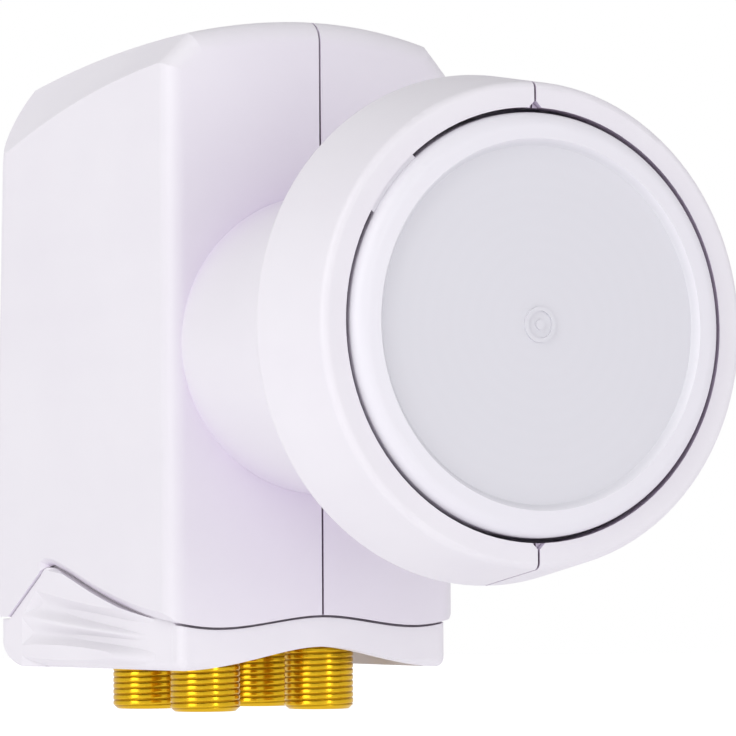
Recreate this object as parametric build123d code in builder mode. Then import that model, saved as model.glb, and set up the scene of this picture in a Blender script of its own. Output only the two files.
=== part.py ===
from build123d import *
import os

os.makedirs("parts", exist_ok=True)

# The horn axis is Y, the dish lies towards -Y, up is +Z and the origin is the middle of the clamp neck.
neck_diameter = 40.0
neck_length = 38.0

# Cap and the cup around it.
cap_diameter = 52.5
cap_recess_diameter = 44.8
cap_recess = 1.0
cap_rise = 1.6
cap_thickness = 1.5
cap_skirt_wall = 1.4
cap_skirt_length = 8.0
cap_gap = 0.6
cap_tab_width = 9.0
cap_tab_length = 4.0
cap_tab_angle = 140.0
rim_step_share = 0.13
rim_shoulder_share = 0.52
shoulder_start_share = 0.05
shoulder_bend_share = 0.34
shoulder_bend_reach = 0.3
gate_radius = 2.2
gate_ring = 0.5
gate_pip = 0.6
gate_height = 0.25
cup_ring_width = 3.15
cup_flare = 2.2
cup_length = 13.8
cup_flare_length = 3.7
cup_edge_radius = 1.0
cup_lip_depth = 6.0
seam_nick = 1.3
seam_nick_angle = 45.0

# Housing behind the neck.
body_front_width = 43.6
body_rear_width = 48.0
body_depth = 54.0
body_top = 43.6
front_bow = 2.2
rear_slope = 0.045
front_edge_radius = 3.0
rear_corner_radius = 4.0
rear_round_radius = 15.0
rear_round_angle = 80.0
brow_margin = 2.0
wall = 2.0
seam_gap = 0.3
tongue_reach = 1.2

# Arched top between two flank bevels, measured at the front, in the middle and at the back.
crown_middle = 25.0
crown_margin_front = 4.4
crown_margin_middle = 3.97
crown_margin_rear = 3.85
crown_rise_front = 2.3
crown_rise_middle = 1.9
crown_rise_rear = 2.0
crown_fall_middle = 1.4
crown_fall_rear = 6.4
bevel_fall_front = 15.0
bevel_fall_middle = 22.5
bevel_fall_rear = 40.0
bevel_reach = 8.0
crown_overrun = 6.0

# Wavy lower edge of the housing: two lobes in front, a rise along each flank and a hook behind.
edge_corner = -36.7
edge_margin = 0.9
edge_lobe_margin = 7.3
edge_lobe_drop = 0.8
edge_middle_rise = 0.7
edge_end_rise = 0.5
edge_split_depth = 3.5
rise_start_slope = 0.1
rise_end_slope = 0.22
rise_low_depth = 8.5
rise_low_height = 1.2
rise_high_depth = 23.5
rise_high_height = 4.9
hook_depth = 32.5
hook_height = 7.5
hook_radius = 3.2
hook_angle = 62.0
edge_rear_rise = 0.4
edge_rear_margin = 5.5
lip_depth = 1.1
lip_angle = 45.0

# Sliding weather shield below the housing, with a ridged grip and a pad in front.
shield_wall = 1.4
slide_clearance = 0.3
bay_wall = 1.3
bay_top = -4.0
shield_head_gap = 0.5
shield_bottom = -43.2
shield_arch = 3.0
shield_rear_radius = 9.5
arch_waist = 9.1
arch_waist_rise = 1.6
notch_clearance = 2.0
grip_inset = 0.4
grip_gap = 0.32
grip_shift = 0.28
grip_ramp = 5.0
grip_full = 8.0
grip_lean = 8.5
ridge_root = 0.5
pad_inset = 1.55
pad_corner_radius = 1.4
shield_edge_radius = 1.2

# Sockets, in a square under the housing.
connector_pitch = 17.5
connector_diameter = 9.5
connector_end = -49.0
connector_row_depth = 17.5
connector_chamfer = 0.5
connector_wall = 1.25
spigot_step = 0.3
hexagon_size = 11.0
hexagon_height = 2.6
insulator_recess = 0.6
insulator_mouth_radius = 0.9
contact_depth = 3.1
contact_sleeve_radius = 1.1
contact_sleeve_length = 10.0
contact_bore_radius = 0.6
contact_bore_length = 8.0
contact_tail_radius = 0.35
contact_tail_proud = 0.6

# Casting, board and fasteners inside.
tube_diameter = 26.0
waveguide_diameter = 19.0
fit_gap = 0.05
cradle_width = 2.0
cradle_height = 9.0
cradle_lift = 4.0
cradle_neck = 12.0
cradle_front_depth = 17.0
cradle_rear_margin = 15.0
board_thickness = 0.8
board_top = -16.4
plate_thickness = 3.2
gasket_thickness = 0.8
box_floor = -27.0
box_roof = -11.5
box_wall = 2.4
box_roof_thickness = 2.5
box_corner_radius = 3.0
box_clearance = 0.8
box_front_margin = 5.3
box_rear_margin = 5.5
tube_end_margin = 5.5
tube_end_wall = 2.0
horn_setback = 4.5
horn_play = 0.25
horn_length = 6.3
horn_taper = 3.0
mouth_flare = 1.5
mouth_step = 1.0
mouth_step_depth = 4.0
mouth_end_depth = 9.0
choke_wall = 1.6
choke_depth = 4.5
choke_overlap = 0.5
gusset_height = 6.0
gusset_thickness = 2.4
screw_radius = 1.5
screw_margin = 3.4
screw_head_radius = 2.7
screw_head_height = 1.8
screw_length = 9.0
cross_length = 3.2
cross_width = 0.7
cross_depth = 0.8
boss_radius = 3.2
post_radius = 2.2
post_margin = 4.5
post_inset = 11.0
post_hole_depth = 3.0
post_screw_radius = 1.0
post_screw_length = 2.6
post_screw_head_radius = 2.0
post_screw_head_height = 1.4
probe_front_depth = 7.5
probe_back_depth = 15.5
probe_radius = 0.6
probe_clearance = 0.7
probe_solder = 0.8
probe_wall_depth = 1.8
probe_bend = 0.9
probe_reach = 4.0
partition_thickness = 0.5
partition_margin = 1.0
partition_end_margin = 2.0
partition_notch = 2.4
board_margin = 0.4
board_end_margin = 6.9
chip_spread = 4.5
chip_offset = 4.3
chip_chamfer = 0.15
seal_depth = 2.2
seal_diameter = 1.7
seal_groove_play = 0.3
seal_squeeze = 0.15

y_front = neck_length / 2
y_rear = y_front + body_depth
cup_front_diameter = cap_diameter + 2 * (cap_gap + cup_ring_width)
cup_rear_diameter = cup_front_diameter + 2 * cup_flare
y_cup_rear = -y_front - cup_flare_length
y_cup_front = y_cup_rear - cup_length
neck_radius = neck_diameter / 2
tube_radius = tube_diameter / 2
waveguide_radius = waveguide_diameter / 2
front_half = body_front_width / 2
rear_half = body_rear_width / 2
cap_radius = cap_diameter / 2
cup_bore = cap_radius + cap_gap
shield_inset = bay_wall + slide_clearance
shield_inner = shield_inset + shield_wall
box_front = y_front + box_front_margin
box_back = y_rear - box_rear_margin
tube_end = box_back - tube_end_margin
overrun = body_depth / 5
form_low = shield_bottom - overrun


def half_width(y):
    """Half width of the housing at a place along its depth."""
    flank = body_depth - front_bow
    return front_half + (rear_half - front_half) * (y - y_front - front_bow) / flank


def plan_prism(inset, low, high, back=0.0):
    """Upright block with the plan outline of the housing, moved inwards by inset."""
    with BuildPart() as prism:
        with BuildSketch(Plane.XY.offset(low)) as plan:
            with BuildLine():
                ThreePointArc(
                    (-front_half, y_front + front_bow),
                    (0, y_front),
                    (front_half, y_front + front_bow),
                )
                Polyline(
                    (front_half, y_front + front_bow),
                    (half_width(y_rear + back), y_rear + back),
                    (-half_width(y_rear + back), y_rear + back),
                    (-front_half, y_front + front_bow),
                )
            make_face()
            if inset > 0:
                offset(amount=-inset, kind=Kind.INTERSECTION, mode=Mode.REPLACE)
                corners = plan.vertices().sort_by(Axis.Y)
                fillet(corners[:2], max(wall / 2, front_edge_radius - inset))
                corners = plan.vertices().sort_by(Axis.Y)
                fillet(corners[-2:], max(wall / 2, rear_corner_radius - inset))
        extrude(amount=high - low)
    return prism.part


def top_block(inset):
    """Block under the arched top and its two flank bevels, which widen towards the back."""
    reach = rear_half + bevel_reach - inset
    low = form_low - 2 * overrun
    sections = (
        (y_front - crown_overrun, front_half - crown_margin_front, 0, crown_rise_front, bevel_fall_front),
        (
            y_front + crown_middle,
            half_width(y_front + crown_middle) - crown_margin_middle,
            crown_fall_middle,
            crown_rise_middle,
            bevel_fall_middle,
        ),
        (
            y_rear + crown_overrun,
            half_width(y_rear + crown_overrun) - crown_margin_rear,
            crown_fall_rear,
            crown_rise_rear,
            bevel_fall_rear,
        ),
    )
    with BuildPart() as block:
        for y, crown_half, fall, rise, bevel_fall in sections:
            upper = crown_half - inset
            crown = body_top - fall - inset
            with BuildSketch(Plane.XZ.offset(-y)):
                with BuildLine():
                    ThreePointArc((-upper, crown - rise), (0, crown), (upper, crown - rise))
                    Polyline(
                        (upper, crown - rise),
                        (reach, body_top - bevel_fall - inset),
                        (reach, low),
                        (-reach, low),
                        (-reach, body_top - bevel_fall - inset),
                        (-upper, crown - rise),
                    )
                make_face()
        loft()
    return block.part


def side_prism(inset):
    """Side profile: upright back that leans forward and rolls over into the top."""
    lean_end = body_top - brow_margin - rear_round_radius
    low = form_low - overrun
    start = (y_rear - rear_slope * low - inset, low)
    lean = (y_rear - rear_slope * lean_end - inset, lean_end)
    with BuildPart() as prism:
        with BuildSketch(Plane.YZ):
            with BuildLine():
                back = Line(start, lean)
                roll = JernArc(back @ 1, back % 1, rear_round_radius - inset, rear_round_angle)
                brow = Line(roll @ 1, roll @ 1 + (roll % 1) * (body_depth + overrun))
                Polyline(brow @ 1, (y_front - 2 * overrun, 0), (y_front - 2 * overrun, low), start)
            make_face()
        extrude(amount=body_rear_width, both=True)
    return prism.part


def neck_form(inset):
    """Turned neck and cup, moved inwards by inset."""
    neck_end = y_front + front_bow + wall
    with BuildPart() as turned:
        with BuildSketch(Plane.YZ):
            with BuildLine():
                Polyline(
                    (y_cup_front + inset, 0),
                    (y_cup_front + inset, cup_front_diameter / 2 - inset),
                    (y_cup_rear - inset, cup_rear_diameter / 2 - inset),
                    (-y_front - inset, neck_radius - inset),
                    (neck_end, neck_radius - inset),
                    (neck_end, 0),
                    close=True,
                )
            make_face()
        revolve(axis=Axis.Y)
    return turned.part


def body_form(inset):
    """Housing behind the neck, moved inwards by inset."""
    with BuildPart() as body:
        add(plan_prism(inset, form_low, body_top + overrun, back=overrun))
        add(top_block(inset), mode=Mode.INTERSECT)
        add(side_prism(inset), mode=Mode.INTERSECT)
    return body.part


with BuildPart() as outside:
    add(body_form(0))
    faces_ahead = outside.faces().filter_by(lambda f: f.center().Y < y_front + front_bow)
    front_face = faces_ahead.sort_by(SortBy.AREA)[-1]
    fillet(front_face.edges().filter_by(lambda e: e.center().Z > shield_bottom), front_edge_radius)
    rear_face = outside.faces().filter_by(GeomType.PLANE).sort_by(Axis.Y)[-1]
    fillet(rear_face.edges().filter_by(lambda e: abs(e.center().X) > front_half / 2), rear_corner_radius)
    add(neck_form(0))
    rims = outside.edges().filter_by(GeomType.CIRCLE).filter_by(lambda e: e.center().Y < 0)
    fillet(rims.filter_by(lambda e: e.radius > cap_radius), cup_edge_radius)

with BuildPart() as inside:
    add(body_form(wall))
    add(neck_form(wall))
    add(plan_prism(bay_wall, form_low - overrun, bay_top))

# Opening in the front of the cup that takes the cap, nicked where the seam meets it.
with BuildPart() as cup_opening:
    with BuildSketch(Plane.XZ.offset(-(y_cup_front + cup_lip_depth))):
        Circle(cup_bore)
    extrude(amount=cup_lip_depth + overrun)
    with BuildSketch(Plane.XZ.offset(-(y_cup_front + cup_edge_radius))):
        with Locations((0, cup_bore), (0, -cup_bore)):
            Rectangle(seam_nick, seam_nick, rotation=seam_nick_angle)
    extrude(amount=overrun)

# Space below the wavy lower edge.
edge_half = front_half - edge_margin
edge_outside = front_half + edge_split_depth
edge_split = y_front + edge_split_depth
edge_low = form_low - overrun
edge_rear = edge_corner + edge_rear_rise
rise_points = (
    (0, edge_corner),
    (rise_low_depth, edge_corner + rise_low_height),
    (rise_high_depth, edge_corner + rise_high_height),
    (hook_depth, edge_corner + hook_height),
)
rise_tangents = ((1, rise_start_slope), (1, rise_end_slope))
with BuildPart() as below_edge:
    with BuildSketch(Plane.XZ.offset(-(y_front - edge_split_depth))):
        with BuildLine():
            wave = Spline(
                (-edge_half, edge_corner),
                (edge_lobe_margin - front_half, edge_corner - edge_lobe_drop),
                (0, edge_corner + edge_middle_rise),
                (front_half - edge_lobe_margin, edge_corner - edge_lobe_drop),
                (edge_half, edge_corner),
            )
            Polyline(
                wave @ 0,
                (-edge_outside, edge_corner + edge_end_rise),
                (-edge_outside, edge_low),
                (edge_outside, edge_low),
                (edge_outside, edge_corner + edge_end_rise),
                wave @ 1,
            )
        make_face()
    extrude(amount=-2 * edge_split_depth)
    with BuildSketch(Plane.YZ.offset(-body_rear_width)):
        with BuildLine():
            rise = Spline(*[(edge_split + depth, z) for depth, z in rise_points], tangents=rise_tangents)
            hook = JernArc(rise @ 1, rise % 1, hook_radius, -hook_angle)
            Polyline(
                hook @ 1,
                (y_rear - edge_rear_margin, edge_rear),
                (y_rear + overrun, edge_rear),
                (y_rear + overrun, edge_low),
                (edge_split, edge_low),
                rise @ 0,
            )
        make_face()
    extrude(amount=2 * body_rear_width)

# Lip: the lower edge of each flank is bevelled along the rise and over the hook.
flank_start = y_front + front_bow
flank = Plane(
    origin=(front_half, flank_start, 0),
    x_dir=(rear_half - front_half, body_depth - front_bow, 0),
    z_dir=(body_depth - front_bow, front_half - rear_half, 0),
)
lip_start = edge_split - flank_start
with BuildPart() as edge_lip:
    with BuildSketch(flank.offset(-lip_depth)):
        with BuildLine():
            lip_rise = Spline(*[(lip_start + depth, z) for depth, z in rise_points], tangents=rise_tangents)
            lip_hook = JernArc(lip_rise @ 1, lip_rise % 1, hook_radius, -hook_angle / 2)
            Polyline(
                lip_hook @ 1,
                ((lip_hook @ 1).X, edge_low),
                (-front_bow, edge_low),
                (-front_bow, edge_corner),
                lip_rise @ 0,
            )
        make_face()
    extrude(amount=2 * lip_depth, taper=-lip_angle)
    mirror(about=Plane.YZ)

# Moulded cradle ribs inside: rings in the neck and webs in the body that hold the waveguide tube.
with BuildPart() as cradle:
    for y in (-cradle_neck, cradle_neck):
        with BuildSketch(Plane.XZ.offset(-y)):
            Circle(neck_radius - wall / 2)
            Circle(tube_radius + fit_gap, mode=Mode.SUBTRACT)
        extrude(amount=cradle_width / 2, both=True)
    for y in (y_front + cradle_front_depth, y_rear - cradle_rear_margin):
        with BuildSketch(Plane.XZ.offset(-y)):
            with Locations((0, cradle_lift)):
                Rectangle(2 * half_width(y) - wall, cradle_height)
            Circle(tube_radius + fit_gap, mode=Mode.SUBTRACT)
        extrude(amount=cradle_width / 2, both=True)

with BuildPart() as housing:
    add(outside.part)
    add(inside.part, mode=Mode.SUBTRACT)
    add(cradle.part)
    add(cup_opening.part, mode=Mode.SUBTRACT)
    add(below_edge.part, mode=Mode.SUBTRACT)
    add(edge_lip.part, mode=Mode.SUBTRACT)

# Tongue along the seam: the left half reaches into a rebate of the right half.
with BuildPart() as tongue_zone:
    with BuildSketch(Plane.YZ) as seam_side:
        with Locations((y_cup_rear - wall, 0)):
            Rectangle(neck_length, 2 * body_top, align=(Align.MIN, Align.CENTER))
        with Locations((y_front - wall, bay_top)):
            Rectangle(body_depth + overrun, body_top + overrun, align=(Align.MIN, Align.MIN))
    extrude(amount=tongue_reach, both=True)

with BuildPart() as seam_tongue:
    add(body_form(wall / 2 + fit_gap))
    add(neck_form(wall / 2 + fit_gap))
    add(body_form(wall), mode=Mode.SUBTRACT)
    add(neck_form(wall), mode=Mode.SUBTRACT)
    add(tongue_zone.part, mode=Mode.INTERSECT)

with BuildPart() as seam_rebate:
    add(body_form(wall / 2))
    add(neck_form(wall / 2))
    add(tongue_zone.part, mode=Mode.INTERSECT)
    with BuildSketch(Plane.YZ):
        Rectangle(2 * tube_end, 2 * (tube_radius + seam_gap))
    extrude(amount=tongue_reach, both=True, mode=Mode.SUBTRACT)

with BuildPart() as left_shell:
    add(housing.part)
    with BuildSketch(Plane.YZ.offset(-seam_gap / 2)):
        Rectangle(4 * y_rear, 4 * y_rear)
    extrude(amount=-body_rear_width, mode=Mode.INTERSECT)
    add(seam_tongue.part)

with BuildPart() as right_shell:
    add(housing.part)
    with BuildSketch(Plane.YZ.offset(seam_gap / 2)):
        Rectangle(4 * y_rear, 4 * y_rear)
    extrude(amount=body_rear_width, mode=Mode.INTERSECT)
    add(seam_rebate.part, mode=Mode.SUBTRACT)

# Grip of the sleeve: a pad flush with the housing behind the hook, and a wave of three ridges that fans out
# to it. The wave is given at three depths behind the front, by how far its crests and its valleys stand out
# of the wall and by the heights above the sleeve's bottom, from the upper root down to the lower root.
ridge_waves = (
    (9.0, -0.1, -0.3, (8.2, 6.3, 5.2, 4.6, 4.0, 2.6, 0.6)),
    (29.0, 1.15, -0.15, (13.0, 9.0, 6.9, 5.7, 4.3, 3.0, 0.3)),
    (46.0, 1.15, 0.6, (15.0, 12.0, 9.8, 7.3, 5.0, 3.0, 0.2)),
)
pad_sections = (
    (shield_bottom, y_rear - grip_full),
    (edge_rear, y_rear - grip_full),
    (edge_corner + hook_height, y_rear - grip_full - grip_lean),
    (bay_top, y_rear - grip_full - grip_lean),
)
with BuildPart() as grip:
    for (low, low_full), (high, high_full) in zip(pad_sections, pad_sections[1:]):
        for z, pad_full in ((low, low_full), (high, high_full)):
            pad_front = pad_full - grip_ramp
            pad_root = half_width(pad_front) - shield_inset - ridge_root
            with BuildSketch(Plane.XY.offset(z)):
                with BuildLine():
                    Polyline(
                        (pad_root, pad_front),
                        (half_width(pad_full), pad_full),
                        (half_width(y_rear), y_rear),
                        (-half_width(y_rear), y_rear),
                        (-half_width(pad_full), pad_full),
                        (-pad_root, pad_front),
                        close=True,
                    )
                make_face()
        loft(ruled=True)
    for side in (-1, 1):
        for depth, crest, valley, heights in ridge_waves:
            y = y_front + depth
            wall_x = half_width(y) - shield_inset
            stands = (-ridge_root, crest, valley, crest, valley, crest, -ridge_root)
            with BuildSketch(Plane.XZ.offset(-y)):
                with BuildLine():
                    wave = Spline(
                        *[
                            (side * (wall_x + stand), shield_bottom + height)
                            for stand, height in zip(stands, heights)
                        ]
                    )
                    Line(wave @ 1, wave @ 0)
                make_face()
        loft()
    add(plan_prism(grip_inset, shield_bottom, bay_top), mode=Mode.INTERSECT)
    with Locations((0, grip_shift, -grip_gap)):
        add(below_edge.part, mode=Mode.INTERSECT)

# Pad in front, flush with the housing, just below the two lobes of its edge.
arch_half = front_half - shield_inset
pad_corner = y_front + front_bow + grip_inset
pad_back = y_front + front_bow + shield_inner
with BuildPart() as front_pad:
    with BuildSketch(Plane.XY.offset(shield_bottom)) as pad_plan:
        with BuildLine():
            bow = ThreePointArc(
                (-front_half, pad_corner),
                (0, y_front + grip_inset),
                (front_half, pad_corner),
            )
            Polyline(bow @ 1, (front_half, pad_back), (-front_half, pad_back), bow @ 0)
        make_face()
        with Locations((0, y_front)):
            Rectangle(2 * (front_half - pad_inset), 2 * pad_back, mode=Mode.INTERSECT)
        fillet(pad_plan.vertices().sort_by(Axis.Y)[:2], pad_corner_radius)
    extrude(amount=bay_top - shield_bottom)
    fillet(front_pad.faces().sort_by(Axis.Z)[0].edges(), shield_edge_radius)
    with Locations((0, 0, -grip_gap)):
        add(below_edge.part, mode=Mode.INTERSECT)

# Sleeve that slides down inside the housing, notched round the waveguide tube.
shield_top = bay_top - shield_head_gap
notch_radius = tube_radius + notch_clearance
with BuildPart() as weather_shield:
    add(plan_prism(shield_inset, shield_bottom, shield_top))
    fillet(weather_shield.faces().sort_by(Axis.Z)[0].edges(), shield_edge_radius)
    add(grip.part)
    add(front_pad.part)
    with BuildSketch(Plane.YZ.offset(-body_rear_width)):
        with Locations((y_rear - grip_inset, shield_bottom)):
            Rectangle(shield_rear_radius, shield_rear_radius, align=(Align.MAX, Align.MIN))
        with Locations((y_rear - grip_inset - shield_rear_radius, shield_bottom + shield_rear_radius)):
            Circle(shield_rear_radius, mode=Mode.SUBTRACT)
    extrude(amount=2 * body_rear_width, mode=Mode.SUBTRACT)
    add(plan_prism(shield_inner, form_low, bay_top), mode=Mode.SUBTRACT)
    with BuildSketch(Plane.XZ.offset(-(y_front - wall))):
        with Locations((0, notch_radius)):
            SlotOverall(4 * notch_radius, 2 * notch_radius, rotation=90)
    extrude(amount=-(shield_inner + front_bow + 2 * wall), mode=Mode.SUBTRACT)
    with BuildSketch(Plane.XZ.offset(-(y_front - wall))):
        with BuildLine():
            arch = Spline(
                (-arch_half, shield_bottom),
                (-arch_waist, shield_bottom + arch_waist_rise),
                (0, shield_bottom + shield_arch),
                (arch_waist, shield_bottom + arch_waist_rise),
                (arch_half, shield_bottom),
            )
            Polyline(arch @ 1, (arch_half, form_low), (-arch_half, form_low), arch @ 0)
        make_face()
    extrude(amount=-(shield_inner + front_bow + 2 * wall), mode=Mode.SUBTRACT)

# Cap: rounded shoulder up to a crest, a disc set into it with a sloped step, a gate mark and a skirt.
cap_crest = y_cup_front - cap_rise
disc_front = cap_crest + cap_recess
disc_back = disc_front + cap_thickness
disc_radius = cap_recess_diameter / 2
rim_width = cap_radius - disc_radius
step_width = rim_step_share * rim_width
shoulder_width = rim_shoulder_share * rim_width
shoulder_end = y_cup_front + cap_gap / 2
shoulder_fall = shoulder_end - cap_crest
shoulder_start = cap_crest + shoulder_start_share * shoulder_fall
shoulder_bend = cap_crest + shoulder_bend_share * shoulder_fall
skirt_bore = cap_radius - cap_skirt_wall
with BuildPart() as feed_cap:
    with BuildSketch(Plane.YZ):
        with BuildLine():
            Polyline(
                (disc_front, 0),
                (disc_front, disc_radius - step_width / 2),
                (cap_crest, disc_radius + step_width),
                (shoulder_start, cap_radius - shoulder_width),
            )
            ThreePointArc(
                (shoulder_start, cap_radius - shoulder_width),
                (shoulder_bend, cap_radius - shoulder_bend_reach * shoulder_width),
                (shoulder_end, cap_radius),
            )
            Polyline(
                (shoulder_end, cap_radius),
                (y_cup_front + cap_skirt_length, cap_radius),
                (y_cup_front + cap_skirt_length, skirt_bore),
                (disc_back + cap_recess, skirt_bore),
                (disc_back, disc_radius - cap_recess),
                (disc_back, 0),
                (disc_front, 0),
            )
        make_face()
    revolve(axis=Axis.Y)
    with BuildSketch(Plane.XZ.offset(-shoulder_end)):
        with PolarLocations(cap_radius, 1, start_angle=cap_tab_angle):
            Rectangle(2 * cap_gap, cap_tab_width)
        Circle(cup_bore - fit_gap, mode=Mode.INTERSECT)
    extrude(amount=-cap_tab_length)
    with BuildSketch(Plane.XZ.offset(-disc_front)):
        Circle(gate_radius)
        Circle(gate_radius - gate_ring, mode=Mode.SUBTRACT)
        Circle(gate_pip)
    extrude(amount=gate_height)

# Horn, waveguide tube and open-bottomed box, cast in one.
horn_radius = skirt_bore - horn_play
horn_front = y_cup_front + horn_setback
horn_back = horn_front + horn_length
seal_y = horn_front + seal_depth
choke_start = tube_radius - choke_overlap
choke_end = horn_radius - seal_diameter - choke_wall
choke_width = (choke_end - choke_start - 2 * choke_wall) / 3
box_middle = (box_front + box_back) / 2
box_length = box_back - box_front
box_half = front_half - shield_inner - box_clearance
screw_x = box_half - screw_margin
screw_places = [
    (x, y) for x in (-screw_x, screw_x) for y in (box_front + screw_margin, box_back - screw_margin)
]
post_x = box_half - post_margin
post_places = [(x, y) for x in (-post_x, post_x) for y in (box_front + post_inset, box_back - post_inset)]
row_y = y_front + connector_row_depth
socket_places = [
    (x, y) for y in (row_y, row_y + connector_pitch) for x in (-connector_pitch / 2, connector_pitch / 2)
]
probe_front = row_y + probe_front_depth
probe_back = row_y + probe_back_depth
probe_x = tube_radius - probe_wall_depth
probe_hole = probe_radius + probe_clearance


def box_rim():
    """Plan of the box wall with its four corner bosses."""
    with BuildSketch() as rim:
        with Locations((0, box_middle)):
            RectangleRounded(2 * box_half, box_length, box_corner_radius)
            RectangleRounded(
                2 * (box_half - box_wall),
                box_length - 2 * box_wall,
                box_corner_radius / 3,
                mode=Mode.SUBTRACT,
            )
        with Locations(*screw_places):
            Circle(boss_radius)
        with Locations(*screw_places):
            Circle(screw_radius, mode=Mode.SUBTRACT)
    return rim.sketch


with BuildPart() as feedhorn_casting:
    with BuildSketch(Plane.YZ):
        with BuildLine():
            Polyline(
                (horn_front, 0),
                (horn_front, horn_radius),
                (horn_back, horn_radius),
                (horn_back + horn_taper, tube_radius),
                (tube_end + tube_end_wall, tube_radius),
                (tube_end + tube_end_wall, 0),
                close=True,
            )
        make_face()
    revolve(axis=Axis.Y)
    with BuildSketch(Plane.XY.offset(box_floor)):
        add(box_rim())
    extrude(amount=box_roof - box_floor)
    with BuildSketch(Plane.XY.offset(box_roof - box_roof_thickness)):
        with Locations((0, box_middle)):
            RectangleRounded(2 * box_half, box_length, box_corner_radius)
    extrude(amount=box_roof_thickness)
    with BuildSketch(Plane.XY.offset(board_top)):
        with Locations(*post_places):
            Circle(post_radius)
    extrude(amount=box_roof - box_roof_thickness / 2 - board_top)
    with BuildSketch(Plane.YZ):
        with BuildLine():
            Polyline(
                (tube_end + tube_end_wall / 2, box_roof - box_roof_thickness / 2),
                (box_back, box_roof - box_roof_thickness / 2),
                (tube_end + tube_end_wall / 2, box_roof + gusset_height),
                close=True,
            )
        make_face()
    extrude(amount=gusset_thickness / 2, both=True)
    with BuildSketch(Plane.YZ):
        with BuildLine():
            Polyline(
                (horn_front - overrun, 0),
                (horn_front - overrun, waveguide_radius + mouth_flare),
                (horn_front + mouth_step_depth, waveguide_radius + mouth_step),
                (horn_front + mouth_end_depth, waveguide_radius),
                (tube_end, waveguide_radius),
                (tube_end, 0),
                close=True,
            )
        make_face()
        for groove in range(3):
            with Locations((horn_front, choke_start + groove * (choke_width + choke_wall))):
                Rectangle(2 * choke_depth, choke_width, align=(Align.CENTER, Align.MIN))
        with Locations((seal_y, horn_radius)):
            Rectangle(seal_diameter + seal_groove_play, 2 * (seal_diameter - seal_squeeze))
    revolve(axis=Axis.Y, mode=Mode.SUBTRACT)
    with BuildSketch(Plane.XY.offset(board_top - overrun)):
        with Locations(*post_places):
            Circle(post_screw_radius)
    extrude(amount=overrun + post_hole_depth, mode=Mode.SUBTRACT)
    with BuildSketch(Plane.XY.offset(box_floor)):
        with Locations((0, probe_front)):
            Circle(probe_hole)
    extrude(amount=-box_floor - waveguide_radius / 2, mode=Mode.SUBTRACT)
    with BuildSketch(Plane.XY.offset(box_floor)):
        with Locations((probe_x, probe_back)):
            Circle(probe_hole)
    extrude(amount=-box_floor + probe_hole, mode=Mode.SUBTRACT)
    with BuildSketch(Plane.YZ):
        with Locations((probe_back, 0)):
            Circle(probe_hole)
    extrude(amount=probe_x, mode=Mode.SUBTRACT)

with BuildPart() as feed_cap_o_ring:
    with BuildSketch(Plane.YZ):
        with Locations((seal_y, skirt_bore - seal_diameter / 2 - fit_gap)):
            Circle(seal_diameter / 2)
    revolve(axis=Axis.Y)

# Floor of the box with the four sockets screwed into it.
gasket_bottom = box_floor - gasket_thickness
plate_bottom = gasket_bottom - plate_thickness
spigot_radius = connector_diameter / 2 + spigot_step
with BuildPart() as plate_gasket:
    with BuildSketch(Plane.XY.offset(gasket_bottom)):
        add(box_rim())
    extrude(amount=gasket_thickness)

with BuildPart() as connector_plate:
    with BuildSketch(Plane.XY.offset(plate_bottom)):
        with Locations((0, box_middle)):
            RectangleRounded(2 * box_half, box_length, box_corner_radius)
        with Locations(*socket_places):
            Circle(spigot_radius + fit_gap, mode=Mode.SUBTRACT)
        with Locations(*screw_places):
            Circle(screw_radius + 2 * fit_gap, mode=Mode.SUBTRACT)
    extrude(amount=plate_thickness)

with BuildPart() as plate_screws:
    with Locations(*[(x, y, plate_bottom) for x, y in screw_places]):
        Cylinder(screw_head_radius, screw_head_height, align=(Align.CENTER, Align.CENTER, Align.MAX))
        Cylinder(screw_radius - fit_gap, screw_length, align=(Align.CENTER, Align.CENTER, Align.MIN))
    with Locations(*[(x, y, plate_bottom - screw_head_height) for x, y in screw_places]):
        Box(cross_width, cross_length, 2 * cross_depth, mode=Mode.SUBTRACT)
        Box(cross_length, cross_width, 2 * cross_depth, mode=Mode.SUBTRACT)

board_bottom = board_top - board_thickness
with BuildPart() as main_pcb:
    with BuildSketch(Plane.XY.offset(board_bottom)):
        with Locations((0, box_middle)):
            Rectangle(2 * (box_half - box_wall - board_margin), box_length - 2 * board_end_margin)
        with Locations(*post_places):
            Circle(post_screw_radius + board_margin / 2, mode=Mode.SUBTRACT)
        with Locations(*socket_places):
            Circle(contact_tail_radius + fit_gap, mode=Mode.SUBTRACT)
        with Locations((0, probe_front), (probe_x, probe_back)):
            Circle(probe_radius + fit_gap, mode=Mode.SUBTRACT)
    extrude(amount=board_thickness)

with BuildPart() as pcb_screws:
    with Locations(*[(x, y, board_bottom) for x, y in post_places]):
        Cylinder(
            post_screw_head_radius,
            post_screw_head_height,
            align=(Align.CENTER, Align.CENTER, Align.MAX),
        )
        Cylinder(
            post_screw_radius - fit_gap,
            board_thickness + post_screw_length,
            align=(Align.CENTER, Align.CENTER, Align.MIN),
        )

# Stamped walls that part the four channels under the board.
with BuildPart() as partition_shield:
    with BuildSketch(Plane.XY.offset(gasket_bottom)):
        with Locations((0, row_y + connector_pitch / 2)):
            Rectangle(partition_thickness, 2 * (connector_pitch - partition_end_margin))
            Rectangle(2 * (box_half - box_wall - partition_margin), partition_thickness)
    extrude(amount=board_bottom - gasket_bottom)
    with Locations((0, probe_front, board_bottom)):
        Box(partition_notch, partition_notch, partition_notch, mode=Mode.SUBTRACT)

probe_low = board_bottom - probe_solder
with BuildPart() as vertical_probe:
    with BuildSketch(Plane.XY.offset(probe_low)):
        with Locations((0, probe_front)):
            Circle(probe_radius)
    extrude(amount=-probe_reach - probe_low)

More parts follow.
